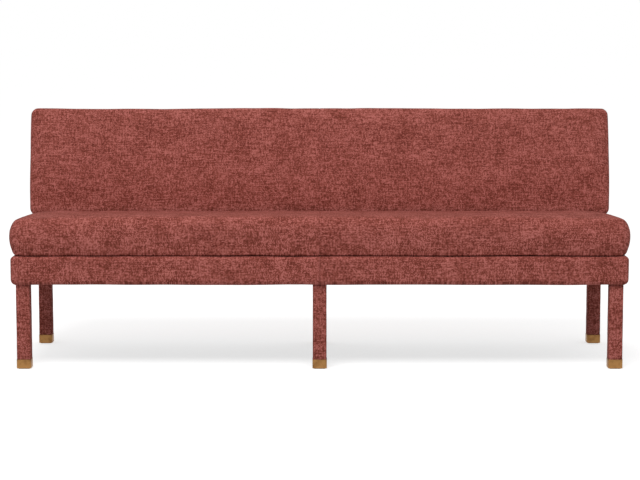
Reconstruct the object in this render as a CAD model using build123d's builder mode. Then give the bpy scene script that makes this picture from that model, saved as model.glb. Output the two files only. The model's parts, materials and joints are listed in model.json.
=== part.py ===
from build123d import *
from math import cos, pi, radians, sin, tan
import os

# Upholstered dining banquette for three people: a padded base box on six square legs, a crowned
# seat cushion lying on the base, and a reclined back pad standing on the rear of the cushion.
# Timber posts rise from the base through the cushion and carry the back. Nothing on it moves.
# Millimetres, +Z up, +X to the right of a person looking at the front. The front faces -Y.
# The origin is on the floor, under the middle of the whole outline.

# Base box
base_width = 2000
base_depth = 575
base_height = 95
base_corner = 18
base_edge = 14

# Cloth, padding and foam
cover_thickness = 2
cover_return = 24
base_padding = 14
rear_padding = 8
layer_gap = 0.3
dust_thickness = 1
hem_gap = 0.5

# Seat cushion: each draw is measured inwards from the widest line
cushion_height = 109
cushion_overhang = 2
cushion_rake = radians(2.4)
cushion_corner = 40
cushion_tuck = 15
cushion_belly = 48
cushion_roll_draw = 20
cushion_crown_run = 170
cushion_crown_rise = 8

# Back pad, measured along its own slope
back_height = 377
back_thickness = 110
back_lean = radians(13)
back_corner = 22
back_foot_depth = 417
back_sink = 12
back_rest_gap = 0.5
groove_round = 8
back_roll_draw = 18
back_roll_depth = 20
back_crown_run = 100
back_crown_rise = 6
back_rear_roll = 12

# Counts of rings in the lofted forms, and of sides in inner corners, bolts and bores
side_rings = 2
roll_rings = 3
edge_rings = 2
corner_chords = 3
bolt_sides = 12

# Legs
leg_height = 276
leg_size = 45
leg_inset = 15
leg_round = 5
ferrule_height = 29
ferrule_proud = 1
ferrule_floor = 3.5
glide_size = 34
glide_height = 2
socket_gap = 0.1

# Base frame
rail_thickness = 28
rail_ease = 2
block_size = 50
cross_offset = 450
cross_drop = 14
cross_dip = 26
dip_front_margin = 40
dip_rear_margin = 150
tenon_length = 15
tenon_thickness = 10
tenon_shoulder = 12
tenon_gap = 0.2

# Webbing
webbing_width = 60
webbing_thickness = 2
weave_gap = 0.4
straps_per_bay = 4
seat_belt_count = 3
back_belt_count = 3

# Back frame
post_width = 45
post_depth = 32
post_foot_gap = 10
slot_gap = 0.5
back_frame_margin = 18
back_rail_height = 45
panel_thickness = 4
panel_margin = 12

# Fasteners
bolt_diameter = 8
bore_gap = 0.2
bolt_in_leg = 40
bolt_in_block = 42
insert_diameter = 12
insert_length = 15
head_diameter = 16
head_height = 4.5
head_sunk = 1
nut_flats = 13
nut_height = 6.5
bolt_tip = 4
post_bolt_rise = 18
post_bolt_spacing = 30

os.makedirs("parts", exist_ok=True)

# Levels of the base
base_top = leg_height + base_height
frame_bottom = leg_height + cover_thickness
frame_top = base_top - max(cover_thickness, webbing_thickness)
frame_height = frame_top - frame_bottom
cross_height = frame_height - cross_drop
frame_inset = cover_thickness + base_padding
base_roll = min(base_edge, frame_inset, base_corner - layer_gap)
half_frame = base_width / 2 - frame_inset

# The back pad's foot above the floor, and how far its top reaches behind the base's front face
back_foot_level = (
    base_top + cushion_height - back_sink - (back_foot_depth - base_depth / 2) * tan(cushion_rake)
)
rear_reach = (
    back_foot_depth
    + (back_thickness - back_rear_roll) * cos(back_lean)
    + (back_height - back_rear_roll) * sin(back_lean)
    + back_rear_roll
)

# Depth lines: the whole outline is centred on the origin from front to rear
front_y = (cushion_overhang - rear_reach) / 2
seat_middle_y = front_y + base_depth / 2
frame_front_y = front_y + frame_inset
frame_rear_y = front_y + base_depth - frame_inset
back_y = front_y + back_foot_depth

# The back pad's own frame: X along the seat, Y through the pad to the rear, Z up its slope
back_plane = Plane(
    origin=(0, back_y, back_foot_level),
    x_dir=(1, 0, 0),
    z_dir=(0, sin(back_lean), cos(back_lean)),
)
foot_slope = tan(back_lean - cushion_rake)

# A crown starts this far inside the rolled edge, as a share of the corner radius, to clear the corners
crown_setback = 1 / 3

# The frame's outer corners are cut back by this share of the radius of the base's corners
corner_cut = 1 / 3

# Layers, by their distance under the surface of the cover
core_inset = cover_thickness + layer_gap

# The back frame, in the back pad's own frame
panel_rear = back_thickness - core_inset - rear_padding
post_rear = panel_rear - panel_thickness
post_front = post_rear - post_depth
post_middle = (post_front + post_rear) / 2
post_foot = (frame_bottom + post_foot_gap - back_foot_level + post_rear * sin(back_lean)) / cos(back_lean)
top_rail_foot = back_height - back_frame_margin - back_rail_height
bottom_rail_foot = back_frame_margin + post_rear * foot_slope

# Places of the legs and posts
leg_x = base_width / 2 - leg_inset - leg_size / 2
leg_rows = {
    "front": front_y + leg_inset + leg_size / 2,
    "rear": front_y + base_depth - leg_inset - leg_size / 2,
}
leg_columns = {"left": -leg_x, "middle": 0, "right": leg_x}
leg_places = {
    f"{row}_{column}": (x, y) for row, y in leg_rows.items() for column, x in leg_columns.items()
}
end_post_x = half_frame - rail_thickness - post_width / 2
inner_post_x = cross_offset + rail_thickness / 2 + post_width / 2
post_places = {
    "left_end": -end_post_x,
    "left_inner": -inner_post_x,
    "right_inner": inner_post_x,
    "right_end": end_post_x,
}


def back_point(through, rise):
    """Depth and height of a point this far through the back pad and this far above its foot."""
    spot = back_plane.from_local_coords((0, through, through * foot_slope + rise))
    return (spot.Y, spot.Z)


def quarter_roll(draw, height, count):
    """Rings of a rolled edge, from the upright side to the flat: draw and drop of each."""
    turns = [pi / 2 * ring / count for ring in range(count + 1)]
    return [(draw * (1 - cos(turn)), height * (1 - sin(turn))) for turn in turns]


def crown_form(face, width, depth, run, rise):
    """A low crown on a face: it climbs on an arc from each edge, and lies level in the middle."""
    across = Plane(face.origin, face.x_dir, -face.y_dir)
    along = Plane(face.origin, face.y_dir, face.x_dir)
    with BuildPart() as crown:
        for side, span, reach, mode in (
            (across, width, depth, Mode.ADD),
            (along, depth, width, Mode.INTERSECT),
        ):
            with BuildSketch(side):
                with BuildLine():
                    Line((-span / 2, 0), (span / 2, 0))
                    top = Line((run - span / 2, rise), (span / 2 - run, rise))
                    TangentArc(top @ 1, (span / 2, 0), tangent=(1, 0))
                    TangentArc(top @ 0, (-span / 2, 0), tangent=(-1, 0))
                make_face()
            extrude(amount=reach / 2, both=True, mode=mode)
    return crown.part


def pad_outline(width, depth, radius, inset):
    """A pad's outline, with arcs at its outer corners and short chords on the layers inside."""
    if inset == 0:
        RectangleRounded(width, depth, radius)
        return
    points = []
    for quarter, (side_x, side_y) in enumerate(((1, 1), (-1, 1), (-1, -1), (1, -1))):
        for chord in range(corner_chords + 1):
            turn = pi / 2 * (quarter + chord / corner_chords)
            x = side_x * (width / 2 - radius) + radius * cos(turn)
            y = side_y * (depth / 2 - radius) + radius * sin(turn)
            points.append((x, y))
    Polygon(*points, align=None)


def base_form(inset):
    """The base box drawn in by this much, with rounded corners and rolled edges."""
    roll = quarter_roll(base_roll - inset, base_roll - inset, edge_rings)
    lower = [(draw, leg_height + inset + drop) for draw, drop in reversed(roll)]
    upper = [(draw, base_top - inset - drop) for draw, drop in roll]
    with BuildPart() as block:
        for draw, level in lower + upper:
            gather = inset + draw
            with BuildSketch(Plane.XY.offset(level)):
                with Locations((0, seat_middle_y)):
                    pad_outline(base_width - 2 * gather, base_depth - 2 * gather, base_corner - gather, inset)
        loft(ruled=True)
    return block.part


def cushion_form(inset):
    """The seat cushion drawn in by this much: tucked foot, full belly, rolled shoulder and crown.

    The foot lies flat on the base, and the sections above it tip back to the rake of the seat.
    A groove across the rear takes the foot of the back pad.
    """
    sides = [
        (cushion_tuck * (1 - ring / side_rings) ** 2, cushion_belly * ring / side_rings)
        for ring in range(side_rings)
    ]
    roll_top = cushion_height - cushion_crown_rise
    roll = quarter_roll(cushion_roll_draw, roll_top - cushion_belly, roll_rings)
    rings = sides + [(draw, roll_top - drop) for draw, drop in roll]
    squeeze = (cushion_height - 2 * inset) / cushion_height
    radius = cushion_corner - inset
    with BuildPart() as cushion:
        for draw, height in rings:
            tip = cushion_rake * min(1, height / cushion_belly)
            level = base_top + inset + height * squeeze
            tray = Plane((0, seat_middle_y, level), (1, 0, 0), (0, sin(tip), cos(tip)))
            width = base_width + 2 * (cushion_overhang - inset - draw)
            depth = base_depth + 2 * (cushion_overhang - inset - draw)
            with BuildSketch(tray):
                pad_outline(width, depth, radius, inset)
        loft(ruled=True)
        margin = 2 * radius * crown_setback
        add(crown_form(tray, width - margin, depth - margin, cushion_crown_run, cushion_crown_rise * squeeze))
        reach = back_rest_gap + inset
        with BuildSketch(Plane.YZ) as groove:
            with BuildLine():
                Polyline(
                    back_point(-reach, -reach),
                    back_point(back_thickness + reach, -reach),
                    back_point(back_thickness + reach, back_height),
                    back_point(-reach, back_height),
                    close=True,
                )
            make_face()
            fillet(groove.vertices().sort_by(Axis.Y)[:2], groove_round + reach)
        extrude(amount=base_width, both=True, mode=Mode.SUBTRACT)
    return cushion.part


def back_form(inset):
    """The back pad drawn in by this much: crowned front, rolled edges, a foot level with the seat."""
    front = quarter_roll(back_roll_draw, back_roll_depth, roll_rings)
    rear = quarter_roll(back_rear_roll, back_rear_roll, edge_rings)
    rings = [(draw, back_thickness - drop) for draw, drop in reversed(rear)]
    rings += [(draw, back_crown_rise + drop) for draw, drop in front]
    squeeze = (back_thickness - 2 * inset) / back_thickness
    radius = back_corner - inset
    with BuildPart() as pad:
        for draw, depth in rings:
            through = inset + depth * squeeze
            low = through * foot_slope + inset + draw
            high = back_height - inset - draw
            middle = back_plane.from_local_coords((0, through, (low + high) / 2))
            face = Plane(middle, back_plane.x_dir, -back_plane.y_dir)
            width = base_width - 2 * (inset + draw)
            with BuildSketch(face):
                pad_outline(width, high - low, radius, inset)
        loft(ruled=True)
        margin = 2 * radius * crown_setback
        add(crown_form(face, width - margin, high - low - margin, back_crown_run, back_crown_rise * squeeze))
    return pad.part


def post_slots(gap):
    """The room that the four posts take where they pass through the pads and the base."""
    with BuildPart() as slots:
        with BuildSketch(back_plane.offset(post_foot)):
            with Locations(*[(x, post_middle) for x in post_places.values()]):
                Rectangle(post_width + 2 * gap, post_depth + 2 * gap)
        extrude(amount=bottom_rail_foot - post_foot)
    return slots.part


def save_halves(whole, name):
    """Parts a cover at its middle seam and writes the two halves."""
    for side, keep in (("left", Keep.BOTTOM), ("right", Keep.TOP)):
        with BuildPart() as half:
            add(whole)
            split(bisect_by=Plane.YZ, keep=keep)
        half.part.label = f"{name}_{side}"
        export_step(half.part, f"parts/{name}_{side}.step")


# Bolts of the posts: each pair goes in through a rail's far face and on through the post
bolt_grip = rail_thickness + post_width
bolt_sets = [
    (half_frame, -1),
    (-half_frame, 1),
    (cross_offset - rail_thickness / 2, 1),
    (rail_thickness / 2 - cross_offset, -1),
]
bolt_levels = [post_foot + post_bolt_rise + step * post_bolt_spacing for step in range(2)]
bolt_places = []
for start_x, heading in bolt_sets:
    for rise in bolt_levels:
        spot = back_plane.from_local_coords((0, post_middle, rise))
        bolt_places.append(Location(Plane((start_x, spot.Y, spot.Z), (0, 1, 0), (heading, 0, 0))))

bolt_end = bolt_grip + nut_height + bolt_tip
head_seat = head_sunk + head_height

with BuildPart() as bolt_bores:
    for place in bolt_places:
        with BuildSketch(Plane(place)):
            RegularPolygon(bolt_diameter / 2 + bore_gap, bolt_sides, major_radius=False)
        extrude(amount=bolt_grip)
        with BuildSketch(Plane(place)):
            RegularPolygon(head_diameter / 2 + bore_gap, bolt_sides, major_radius=False)
        extrude(amount=head_seat)

with BuildPart() as post_bolts:
    for place in bolt_places:
        with BuildSketch(Plane(place).offset(head_sunk)):
            RegularPolygon(head_diameter / 2, bolt_sides)
        extrude(amount=head_height)
        with BuildSketch(Plane(place).offset(head_seat)):
            RegularPolygon(bolt_diameter / 2, bolt_sides)
        extrude(amount=bolt_end - head_seat)
post_bolts.part.label = "post_bolts"
export_step(post_bolts.part, "parts/post_bolts.step")

with BuildPart() as post_nuts:
    for place in bolt_places:
        with BuildSketch(Plane(place).offset(bolt_grip)):
            RegularPolygon(nut_flats / 2, 6, major_radius=False)
            RegularPolygon(
                bolt_diameter / 2 + bore_gap, bolt_sides, major_radius=False, mode=Mode.SUBTRACT
            )
        extrude(amount=nut_height)
post_nuts.part.label = "post_nuts"
export_step(post_nuts.part, "parts/post_nuts.step")

# Base rails: each runs between two points on its own middle line, tenoned at both ends
front_rail_y = frame_front_y + rail_thickness / 2
rear_rail_y = frame_rear_y - rail_thickness / 2
end_rail_x = half_frame - rail_thickness / 2
block_inner_x = half_frame - block_size
block_front_y = frame_front_y + block_size
block_rear_y = frame_rear_y - block_size
long_rails = {
    "front_left_rail": ((-block_inner_x, front_rail_y), (-block_size / 2, front_rail_y)),
    "front_right_rail": ((block_size / 2, front_rail_y), (block_inner_x, front_rail_y)),
    "rear_left_rail": ((-block_inner_x, rear_rail_y), (-block_size / 2, rear_rail_y)),
    "rear_right_rail": ((block_size / 2, rear_rail_y), (block_inner_x, rear_rail_y)),
    "left_end_rail": ((-end_rail_x, block_front_y), (-end_rail_x, block_rear_y)),
    "right_end_rail": ((end_rail_x, block_front_y), (end_rail_x, block_rear_y)),
}
rail_inner_front_y = frame_front_y + rail_thickness
rail_inner_rear_y = frame_rear_y - rail_thickness
cross_rails = {
    "left_cross_rail": ((-cross_offset, rail_inner_front_y), (-cross_offset, rail_inner_rear_y)),
    "centre_cross_rail": ((0, block_front_y), (0, block_rear_y)),
    "right_cross_rail": ((cross_offset, rail_inner_front_y), (cross_offset, rail_inner_rear_y)),
}


def rail_side(start, end):
    """Upright plane down a rail's middle: X along the rail from its start, Y up from its foot."""
    heading = (Vector(*end) - Vector(*start)).normalized()
    return Plane((*start, frame_bottom), heading, heading.cross(Vector(0, 0, 1)))


def rail_tenons(start, end, height, slack):
    """The tenons at both ends of a rail, grown by some slack for their mortises."""
    length = (Vector(*end) - Vector(*start)).length
    with BuildPart() as tenons:
        with BuildSketch(rail_side(start, end)):
            with Locations((length / 2, height / 2)):
                Rectangle(length + 2 * (tenon_length + slack), height - 2 * (tenon_shoulder - slack))
                Rectangle(length, height, mode=Mode.SUBTRACT)
        extrude(amount=tenon_thickness / 2 + slack, both=True)
    return tenons.part


# Where a post meets a rear rail or a leg block, that timber is cut away for it
post_notches = post_slots(0)
for name, (start, end) in long_rails.items():
    length = (Vector(*end) - Vector(*start)).length
    side = rail_side(start, end)
    with BuildPart() as rail:
        with BuildSketch(side):
            Rectangle(length, frame_height, align=Align.MIN)
        extrude(amount=rail_thickness / 2, both=True)
        chamfer(rail.edges().filter_by(Axis((0, 0, 0), side.x_dir)), rail_ease)
        add(rail_tenons(start, end, frame_height, 0))
        for cross_start, cross_end in cross_rails.values():
            add(rail_tenons(cross_start, cross_end, cross_height, tenon_gap), mode=Mode.SUBTRACT)
        add(post_notches, mode=Mode.SUBTRACT)
        add(bolt_bores.part, mode=Mode.SUBTRACT)
    rail.part.label = name
    export_step(rail.part, f"parts/{name}.step")

# Cross rails dip in the middle, so that the webbing can sink under a sitter without touching them
for name, (start, end) in cross_rails.items():
    length = (Vector(*end) - Vector(*start)).length
    dip_end = length - dip_rear_margin
    with BuildPart() as rail:
        with BuildSketch(rail_side(start, end)):
            with BuildLine():
                Polyline(
                    (dip_front_margin, cross_height), (0, cross_height), (0, 0), (length, 0),
                    (length, cross_height), (dip_end, cross_height),
                )
                ThreePointArc(
                    (dip_end, cross_height),
                    ((dip_front_margin + dip_end) / 2, cross_height - cross_dip),
                    (dip_front_margin, cross_height),
                )
            make_face()
        extrude(amount=rail_thickness / 2, both=True)
        add(rail_tenons(start, end, cross_height, 0))
        add(bolt_bores.part, mode=Mode.SUBTRACT)
    rail.part.label = name
    export_step(rail.part, f"parts/{name}.step")

# Leg blocks stand in the corners and at the middle of the long sides, mortised for the rails.
# The outer corners of the frame are cut back under the rounded corners of the base.
block_columns = (block_size / 2 - half_frame, 0, half_frame - block_size / 2)
block_rows = (frame_front_y + block_size / 2, frame_rear_y - block_size / 2)
frame_corners = [(x, y) for x in (-half_frame, half_frame) for y in (frame_front_y, frame_rear_y)]
with BuildPart() as leg_blocks:
    with BuildSketch(Plane.XY.offset(frame_bottom)) as block_plan:
        with Locations(*[(x, y) for x in block_columns for y in block_rows]):
            Rectangle(block_size, block_size)
        corners = [block_plan.vertices().sort_by_distance(corner)[0] for corner in frame_corners]
        chamfer(corners, base_corner * corner_cut)
    extrude(amount=frame_height)
    with BuildSketch(Plane.XY.offset(frame_bottom)):
        with Locations(*leg_places.values()):
            RegularPolygon(insert_diameter / 2 + bore_gap, bolt_sides, major_radius=False)
    extrude(amount=insert_length, mode=Mode.SUBTRACT)
    with BuildSketch(Plane.XY.offset(frame_bottom)):
        with Locations(*leg_places.values()):
            RegularPolygon(bolt_diameter / 2 + bore_gap, bolt_sides, major_radius=False)
    extrude(amount=bolt_in_block, mode=Mode.SUBTRACT)
    for start, end in long_rails.values():
        add(rail_tenons(start, end, frame_height, tenon_gap), mode=Mode.SUBTRACT)
    for start, end in cross_rails.values():
        add(rail_tenons(start, end, cross_height, tenon_gap), mode=Mode.SUBTRACT)
    add(post_notches, mode=Mode.SUBTRACT)
    add(bolt_bores.part, mode=Mode.SUBTRACT)
leg_blocks.part.label = "leg_blocks"
export_step(leg_blocks.part, "parts/leg_blocks.step")

# Threaded inserts in the blocks, and the double-ended bolts that hold the legs
with BuildPart() as leg_inserts:
    with BuildSketch(Plane.XY.offset(frame_bottom)):
        with Locations(*leg_places.values()):
            RegularPolygon(insert_diameter / 2, bolt_sides)
            RegularPolygon(
                bolt_diameter / 2 + bore_gap, bolt_sides, major_radius=False, mode=Mode.SUBTRACT
            )
    extrude(amount=insert_length)
leg_inserts.part.label = "leg_inserts"
export_step(leg_inserts.part, "parts/leg_inserts.step")

with BuildPart() as leg_bolts:
    with BuildSketch(Plane.XY.offset(leg_height - bolt_in_leg)):
        with Locations(*leg_places.values()):
            RegularPolygon(bolt_diameter / 2, bolt_sides)
    extrude(amount=bolt_in_leg + bolt_in_block)
leg_bolts.part.label = "leg_bolts"
export_step(leg_bolts.part, "parts/leg_bolts.step")

# Legs: a timber core in a cloth sleeve, standing in a brass ferrule on a felt glide
core_size = leg_size - 2 * cover_thickness
core_foot = glide_height + ferrule_floor
sleeve_foot = glide_height + ferrule_height
ferrule_size = leg_size + 2 * ferrule_proud
for name, place in leg_places.items():
    with BuildPart() as leg_core:
        with BuildSketch(Plane.XY.offset(core_foot)):
            with Locations(place):
                Rectangle(core_size, core_size)
        extrude(amount=leg_height - core_foot)
        with BuildSketch(Plane.XY.offset(leg_height)):
            with Locations(place):
                RegularPolygon(bolt_diameter / 2 + bore_gap, bolt_sides, major_radius=False)
        extrude(amount=-bolt_in_leg, mode=Mode.SUBTRACT)
    leg_core.part.label = f"leg_core_{name}"
    export_step(leg_core.part, f"parts/leg_core_{name}.step")

    with BuildPart() as ferrule:
        with BuildSketch(Plane.XY.offset(glide_height)):
            with Locations(place):
                RectangleRounded(ferrule_size, ferrule_size, leg_round + ferrule_proud)
        extrude(amount=ferrule_height)
        with BuildSketch(Plane.XY.offset(core_foot)):
            with Locations(place):
                Rectangle(core_size + 2 * socket_gap, core_size + 2 * socket_gap)
        extrude(amount=ferrule_height, mode=Mode.SUBTRACT)
    ferrule.part.label = f"ferrule_{name}"
    export_step(ferrule.part, f"parts/ferrule_{name}.step")

with BuildPart() as leg_sleeves:
    with BuildSketch(Plane.XY.offset(sleeve_foot)):
        with Locations(*leg_places.values()):
            RectangleRounded(leg_size, leg_size, leg_round)
            Rectangle(core_size, core_size, mode=Mode.SUBTRACT)
    extrude(amount=leg_height - sleeve_foot)
leg_sleeves.part.label = "leg_sleeves"
export_step(leg_sleeves.part, "parts/leg_sleeves.step")

with BuildPart() as floor_glides:
    with BuildSketch(Plane.XY):
        with Locations(*leg_places.values()):
            Rectangle(glide_size, glide_size)
    extrude(amount=glide_height)
floor_glides.part.label = "floor_glides"
export_step(floor_glides.part, "parts/floor_glides.step")

# Padding strips round the base frame, under the cover
pad_form = base_form(cover_thickness)
side_pad_depth = frame_rear_y - frame_front_y
pad_strips = {
    "base_pad_front": ((0, front_y), (base_width, 2 * frame_inset)),
    "base_pad_rear": ((0, front_y + base_depth), (base_width, 2 * frame_inset)),
    "base_pad_left": ((-base_width / 2, seat_middle_y), (2 * frame_inset, side_pad_depth)),
    "base_pad_right": ((base_width / 2, seat_middle_y), (2 * frame_inset, side_pad_depth)),
}
for name, (place, size) in pad_strips.items():
    with BuildPart() as pad:
        add(pad_form)
        with BuildSketch(Plane.XY.offset(leg_height)):
            with Locations(place):
                Rectangle(*size)
        extrude(amount=base_height, mode=Mode.INTERSECT)
    pad.part.label = name
    export_step(pad.part, f"parts/{name}.step")

# Base cover: a band round the padding, turned over the top and under the bottom of the frame
opening_width = base_width - 2 * cover_return
opening_depth = base_depth - 2 * cover_return
with BuildPart() as base_cover:
    add(base_form(0))
    add(pad_form, mode=Mode.SUBTRACT)
    with BuildSketch(Plane.XY.offset(leg_height)):
        with Locations((0, seat_middle_y)):
            Rectangle(opening_width, opening_depth)
        with Locations(*leg_places.values()):
            RegularPolygon(bolt_diameter / 2 + bore_gap, bolt_sides, major_radius=False)
    extrude(amount=base_height, mode=Mode.SUBTRACT)
save_halves(base_cover.part, "base_cover")

# Dust cover under the frame, inside the turned edge of the base cover
with BuildPart() as dust_cover:
    with BuildSketch(Plane.XY.offset(frame_bottom - dust_thickness)):
        with Locations((0, seat_middle_y)):
            Rectangle(opening_width - 2 * hem_gap, opening_depth - 2 * hem_gap)
        with Locations(*leg_places.values()):
            RegularPolygon(
                bolt_diameter / 2 + bore_gap, bolt_sides, major_radius=False, mode=Mode.SUBTRACT
            )
    extrude(amount=dust_thickness)
dust_cover.part.label = "dust_cover"
export_step(dust_cover.part, "parts/dust_cover.step")

# Seat webbing: straps from front to rear, woven over and under belts that run the seat's length
webbing_inset = cover_return + hem_gap
webbing_bearing = frame_inset + rail_thickness + weave_gap - webbing_inset
strap_length = base_depth - 2 * webbing_inset
belt_length = base_width - 2 * webbing_inset
weave_drop = webbing_thickness + weave_gap
post_face_y = (
    back_y + (frame_top - weave_drop - back_foot_level) * tan(back_lean) + post_front / cos(back_lean)
)
belt_pitch = (post_face_y - rail_inner_front_y) / seat_belt_count
belt_ys = [rail_inner_front_y + belt_pitch * (belt + 0.5) for belt in range(seat_belt_count)]
strap_bays = [
    (0, inner_post_x - post_width / 2),
    (inner_post_x + post_width / 2, end_post_x - post_width / 2),
]
right_straps = [
    bay_start + (bay_end - bay_start) * (strap + 0.5) / straps_per_bay
    for bay_start, bay_end in strap_bays
    for strap in range(straps_per_bay)
]
strap_xs = sorted([-x for x in right_straps] + right_straps)


def woven_band(side, length, crossings):
    """A flat band along a plane's X axis, which rides over or dips under each band that it crosses."""
    flat = webbing_width / 2 + weave_gap
    path = [(0, 0), (webbing_bearing, 0)]
    for spot, over in crossings:
        level = 0 if over else -weave_drop
        path += [(spot - flat, level), (spot + flat, level)]
    path += [(length - webbing_bearing, 0), (length, 0)]
    upper = [(along, level + webbing_thickness) for along, level in reversed(path)]
    with BuildPart() as band:
        with BuildSketch(side):
            with BuildLine():
                Polyline(*path, *upper, close=True)
            make_face()
        extrude(amount=webbing_width / 2, both=True)
    return band.part


with BuildPart() as seat_straps:
    for strap, x in enumerate(strap_xs):
        start = (x, front_y + webbing_inset, frame_top)
        crossings = [(y - start[1], (strap + belt) % 2 == 0) for belt, y in enumerate(belt_ys)]
        add(woven_band(Plane(start, (0, 1, 0), (1, 0, 0)), strap_length, crossings))
seat_straps.part.label = "seat_straps"
export_step(seat_straps.part, "parts/seat_straps.step")

with BuildPart() as seat_belts:
    for belt, y in enumerate(belt_ys):
        start = (-belt_length / 2, y, frame_top)
        crossings = [(x - start[0], (strap + belt) % 2 == 1) for strap, x in enumerate(strap_xs)]
        add(woven_band(Plane(start, (1, 0, 0), (0, -1, 0)), belt_length, crossings))
seat_belts.part.label = "seat_belts"
export_step(seat_belts.part, "parts/seat_belts.step")

# Seat cushion: a foam core in its sewn cover, both slotted for the posts
slots = post_slots(slot_gap)
with BuildPart() as seat_foam:
    add(cushion_form(core_inset))
    add(slots, mode=Mode.SUBTRACT)
seat_foam.part.label = "seat_foam"
export_step(seat_foam.part, "parts/seat_foam.step")

with BuildPart() as seat_cover:
    add(cushion_form(0))
    add(cushion_form(cover_thickness), mode=Mode.SUBTRACT)
    add(slots, mode=Mode.SUBTRACT)
save_halves(seat_cover.part, "seat_cover")

# Back frame: posts, stiles beside the end posts, a top rail on them and bottom rails between them
back_half_frame = base_width / 2 - back_frame_margin
back_middle = Plane(
    back_plane.from_local_coords((0, post_middle, 0)), back_plane.x_dir, -back_plane.y_dir
)
bottom_rails = {
    "back_bottom_rail_left": (-end_post_x, -inner_post_x),
    "back_bottom_rail_centre": (-inner_post_x, inner_post_x),
    "back_bottom_rail_right": (inner_post_x, end_post_x),
}
bottom_rail_middle = bottom_rail_foot + back_rail_height / 2


def bottom_rail_tenons(start_x, end_x, slack):
    """The tenons at both ends of a bottom rail, grown by some slack for their mortises."""
    length = end_x - start_x - post_width
    with BuildPart() as tenons:
        with BuildSketch(back_middle):
            with Locations(((start_x + end_x) / 2, bottom_rail_middle)):
                Rectangle(
                    length + 2 * (tenon_length + slack), back_rail_height - 2 * (tenon_shoulder - slack)
                )
                Rectangle(length, back_rail_height, mode=Mode.SUBTRACT)
        extrude(amount=tenon_thickness / 2 + slack, both=True)
    return tenons.part


def post_tenon(x, slack):
    """The tenon on top of a post, grown by some slack for its mortise in the top rail."""
    with BuildPart() as tenon:
        with BuildSketch(back_plane.offset(top_rail_foot)):
            with Locations((x, post_middle)):
                Rectangle(post_width - 2 * (tenon_shoulder - slack), tenon_thickness + 2 * slack)
        extrude(amount=tenon_length + slack)
    return tenon.part


for name, x in post_places.items():
    with BuildPart() as post:
        with BuildSketch(back_plane.offset(post_foot)):
            with Locations((x, post_middle)):
                Rectangle(post_width, post_depth)
        extrude(amount=top_rail_foot - post_foot)
        add(post_tenon(x, 0))
        for start_x, end_x in bottom_rails.values():
            add(bottom_rail_tenons(start_x, end_x, tenon_gap), mode=Mode.SUBTRACT)
        add(bolt_bores.part, mode=Mode.SUBTRACT)
    post.part.label = f"back_post_{name}"
    export_step(post.part, f"parts/back_post_{name}.step")

for name, (start_x, end_x) in bottom_rails.items():
    with BuildPart() as rail:
        with BuildSketch(back_middle):
            with Locations(((start_x + end_x) / 2, bottom_rail_middle)):
                Rectangle(end_x - start_x - post_width, back_rail_height)
        extrude(amount=post_depth / 2, both=True)
        chamfer(rail.edges().filter_by(Axis.X), rail_ease)
        add(bottom_rail_tenons(start_x, end_x, 0))
    rail.part.label = name
    export_step(rail.part, f"parts/{name}.step")

stile_inner = end_post_x + post_width / 2
for name, side in (("back_stile_left", -1), ("back_stile_right", 1)):
    with BuildPart() as stile:
        with BuildSketch(back_plane.offset(bottom_rail_foot)):
            with Locations((side * (stile_inner + back_half_frame) / 2, post_middle)):
                Rectangle(back_half_frame - stile_inner, post_depth)
        extrude(amount=top_rail_foot - bottom_rail_foot)
    stile.part.label = name
    export_step(stile.part, f"parts/{name}.step")

with BuildPart() as back_top_rail:
    with BuildSketch(back_plane.offset(top_rail_foot)):
        with Locations((0, post_middle)):
            Rectangle(2 * back_half_frame, post_depth)
    extrude(amount=back_rail_height)
    chamfer(back_top_rail.edges().filter_by(Axis.X), rail_ease)
    for x in post_places.values():
        add(post_tenon(x, tenon_gap), mode=Mode.SUBTRACT)
back_top_rail.part.label = "back_top_rail"
export_step(back_top_rail.part, "parts/back_top_rail.step")

# Back webbing, stretched across the fronts of the posts
belt_room = top_rail_foot - bottom_rail_foot - back_rail_height
back_belt_levels = [
    bottom_rail_foot + back_rail_height + belt_room * (belt + 0.5) / back_belt_count
    for belt in range(back_belt_count)
]
with BuildPart() as back_belts:
    with BuildSketch(back_middle.offset(post_depth / 2)):
        with Locations(*[(0, level) for level in back_belt_levels]):
            Rectangle(2 * back_half_frame, webbing_width)
    extrude(amount=webbing_thickness)
back_belts.part.label = "back_belts"
export_step(back_belts.part, "parts/back_belts.step")

# Outside back panel, behind the posts
panel_foot = bottom_rail_foot + panel_margin
panel_top = back_height - back_frame_margin - panel_margin
with BuildPart() as back_panel:
    with BuildSketch(back_middle.offset(-post_depth / 2)):
        with Locations((0, (panel_foot + panel_top) / 2)):
            Rectangle(2 * (back_half_frame - panel_margin), panel_top - panel_foot)
    extrude(amount=-panel_thickness)
back_panel.part.label = "back_panel"
export_step(back_panel.part, "parts/back_panel.step")

# Back upholstery: foam over the front and edges of the frame, a thin pad behind the panel, the cover
with BuildPart() as frame_pocket:
    with BuildSketch(back_middle.offset(post_depth / 2 + webbing_thickness)):
        with Locations((0, (bottom_rail_foot + back_height - back_frame_margin) / 2)):
            Rectangle(
                2 * (back_half_frame + layer_gap),
                back_height - back_frame_margin - bottom_rail_foot + 2 * layer_gap,
            )
    extrude(amount=-back_thickness)

with BuildPart() as back_foam:
    add(back_form(core_inset))
    add(frame_pocket.part, mode=Mode.SUBTRACT)
    add(slots, mode=Mode.SUBTRACT)
back_foam.part.label = "back_foam"
export_step(back_foam.part, "parts/back_foam.step")

with BuildPart() as back_rear_pad:
    with BuildSketch(back_middle.offset(-post_depth / 2 - panel_thickness)):
        with Locations((0, (panel_foot + panel_top) / 2)):
            Rectangle(2 * (back_half_frame - panel_margin), panel_top - panel_foot)
    extrude(amount=-rear_padding)
back_rear_pad.part.label = "back_rear_pad"
export_step(back_rear_pad.part, "parts/back_rear_pad.step")

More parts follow.
